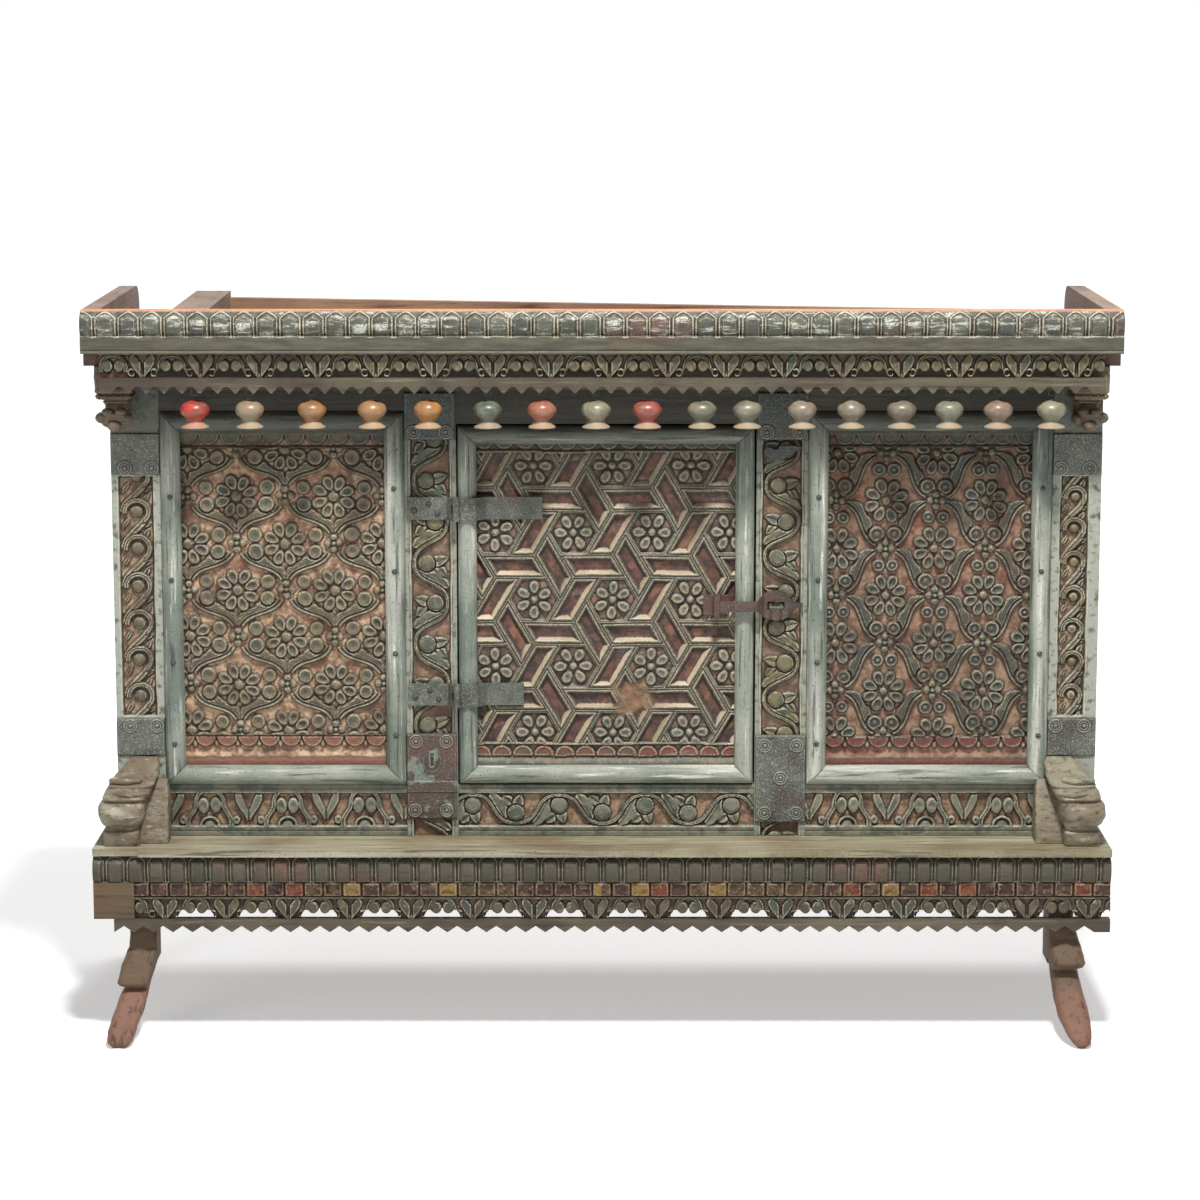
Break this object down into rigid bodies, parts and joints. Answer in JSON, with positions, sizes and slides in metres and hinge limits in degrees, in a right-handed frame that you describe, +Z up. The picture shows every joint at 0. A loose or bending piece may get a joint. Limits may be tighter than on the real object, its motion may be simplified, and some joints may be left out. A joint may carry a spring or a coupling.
{
  "type": "sideboard",
  "caption": "Carved and painted wooden cabinet with a hinged door between carved panels, pierced friezes, iron straps, kicked front legs and hanging turned drops.",
  "frame": {"origin": "on the floor, under the middle of the outline: midway between the two ends, and midway between the tips of the front toes and the back", "axes": "+X to the right as seen from the front, +Y to the back, +Z up"},
  "size_m": [1.4, 0.51, 1.007],
  "materials": {
    "painted_wood": "old teal-grey and olive paint over carved wood, worn to pale edges, with dust in the ground",
    "bare_wood": "dry unpainted hardwood, orange-brown, open grain",
    "leg_wood": "worn reddish hardwood, split grain",
    "old_iron": "hand-forged sheet, painted over and pitted, rust at the edges",
    "turned_red": "lacquered turned wood, worn",
    "turned_amber": "lacquered turned wood, worn",
    "turned_green": "lacquered turned wood, worn",
    "turned_grey": "lacquered turned wood, worn"
  },
  "bodies": {
    "carcase": {"front_rail": "painted_wood", "ledge_board": "painted_wood", "corner_posts": "painted_wood", "stiles": "painted_wood", "top_rail": "painted_wood", "apron_boards": "painted_wood", "panel_left": "painted_wood", "panel_right": "painted_wood", "panel_mouldings_left": "painted_wood", "panel_mouldings_right": "painted_wood", "cornice_rail": "painted_wood", "upper_frieze": "painted_wood", "lower_frieze": "painted_wood", "scalloped_strip": "painted_wood", "zigzag_strip": "painted_wood", "corbels": "painted_wood", "head_bracket_left": "painted_wood", "head_bracket_right": "painted_wood", "rear_posts": "bare_wood", "side_rails": "bare_wood", "front_sill": "bare_wood", "back_rail": "bare_wood", "floor_boards": "bare_wood", "side_panels": "bare_wood", "back_planks": "bare_wood", "top_boards": "bare_wood", "gallery_ends": "bare_wood", "gallery_beams": "bare_wood", "gallery_back": "bare_wood", "front_leg_left": "leg_wood", "front_leg_right": "leg_wood", "hinge_stile_leaves": "old_iron", "hinge_pins": "old_iron", "staple": "old_iron", "strap_plates": "old_iron", "lock_plate": "old_iron", "drop_hooks": "old_iron"},
    "door": {"door_panel": "painted_wood", "door_mouldings": "painted_wood", "door_battens": "bare_wood", "hinge_straps": "old_iron", "hasp_bracket": "old_iron"},
    "hasp": {"hasp": "old_iron"},
    "drop_01": {"drop_01": "turned_red"},
    "drop_02": {"drop_02": "turned_grey"},
    "drop_03": {"drop_03": "turned_amber"},
    "drop_04": {"drop_04": "turned_amber"},
    "drop_05": {"drop_05": "turned_amber"},
    "drop_06": {"drop_06": "turned_green"},
    "drop_07": {"drop_07": "turned_amber"},
    "drop_08": {"drop_08": "turned_grey"},
    "drop_09": {"drop_09": "turned_red"},
    "drop_10": {"drop_10": "turned_green"},
    "drop_11": {"drop_11": "turned_green"},
    "drop_12": {"drop_12": "turned_grey"},
    "drop_13": {"drop_13": "turned_grey"},
    "drop_14": {"drop_14": "turned_grey"},
    "drop_15": {"drop_15": "turned_green"},
    "drop_16": {"drop_16": "turned_grey"},
    "drop_17": {"drop_17": "turned_grey"}
  },
  "joints": [
    {"name": "door_hinge", "type": "hinge", "parent": "carcase", "child": "door", "pos_m": [-0.2, -0.13, 0.5925], "axis": [0, 0, -1], "range_deg": [0, 120]},
    {"name": "hasp_hinge", "type": "hinge", "parent": "door", "child": "hasp", "pos_m": [0.158, -0.129, 0.594], "axis": [0, 0, -1], "range_deg": [0, 150]},
    {"name": "drop_01_swing", "type": "hinge", "parent": "carcase", "child": "drop_01", "pos_m": [-0.549, -0.181, 0.892], "axis": [1, 0, 0], "range_deg": [-35, 35]},
    {"name": "drop_02_swing", "type": "hinge", "parent": "carcase", "child": "drop_02", "pos_m": [-0.475, -0.181, 0.892], "axis": [1, 0, 0], "range_deg": [-35, 35]},
    {"name": "drop_03_swing", "type": "hinge", "parent": "carcase", "child": "drop_03", "pos_m": [-0.391, -0.181, 0.892], "axis": [1, 0, 0], "range_deg": [-35, 35]},
    {"name": "drop_04_swing", "type": "hinge", "parent": "carcase", "child": "drop_04", "pos_m": [-0.31, -0.181, 0.892], "axis": [1, 0, 0], "range_deg": [-35, 35]},
    {"name": "drop_05_swing", "type": "hinge", "parent": "carcase", "child": "drop_05", "pos_m": [-0.235, -0.181, 0.892], "axis": [1, 0, 0], "range_deg": [-35, 35]},
    {"name": "drop_06_swing", "type": "hinge", "parent": "carcase", "child": "drop_06", "pos_m": [-0.154, -0.181, 0.892], "axis": [1, 0, 0], "range_deg": [-35, 35]},
    {"name": "drop_07_swing", "type": "hinge", "parent": "carcase", "child": "drop_07", "pos_m": [-0.081, -0.181, 0.892], "axis": [1, 0, 0], "range_deg": [-35, 35]},
    {"name": "drop_08_swing", "type": "hinge", "parent": "carcase", "child": "drop_08", "pos_m": [-0.008, -0.181, 0.892], "axis": [1, 0, 0], "range_deg": [-35, 35]},
    {"name": "drop_09_swing", "type": "hinge", "parent": "carcase", "child": "drop_09", "pos_m": [0.061, -0.181, 0.892], "axis": [1, 0, 0], "range_deg": [-35, 35]},
    {"name": "drop_10_swing", "type": "hinge", "parent": "carcase", "child": "drop_10", "pos_m": [0.135, -0.181, 0.892], "axis": [1, 0, 0], "range_deg": [-35, 35]},
    {"name": "drop_11_swing", "type": "hinge", "parent": "carcase", "child": "drop_11", "pos_m": [0.196, -0.181, 0.892], "axis": [1, 0, 0], "range_deg": [-35, 35]},
    {"name": "drop_12_swing", "type": "hinge", "parent": "carcase", "child": "drop_12", "pos_m": [0.27, -0.181, 0.892], "axis": [1, 0, 0], "range_deg": [-35, 35]},
    {"name": "drop_13_swing", "type": "hinge", "parent": "carcase", "child": "drop_13", "pos_m": [0.336, -0.181, 0.892], "axis": [1, 0, 0], "range_deg": [-35, 35]},
    {"name": "drop_14_swing", "type": "hinge", "parent": "carcase", "child": "drop_14", "pos_m": [0.404, -0.181, 0.892], "axis": [1, 0, 0], "range_deg": [-35, 35]},
    {"name": "drop_15_swing", "type": "hinge", "parent": "carcase", "child": "drop_15", "pos_m": [0.468, -0.181, 0.892], "axis": [1, 0, 0], "range_deg": [-35, 35]},
    {"name": "drop_16_swing", "type": "hinge", "parent": "carcase", "child": "drop_16", "pos_m": [0.534, -0.181, 0.892], "axis": [1, 0, 0], "range_deg": [-35, 35]},
    {"name": "drop_17_swing", "type": "hinge", "parent": "carcase", "child": "drop_17", "pos_m": [0.606, -0.181, 0.892], "axis": [1, 0, 0], "range_deg": [-35, 35]}
  ]
}
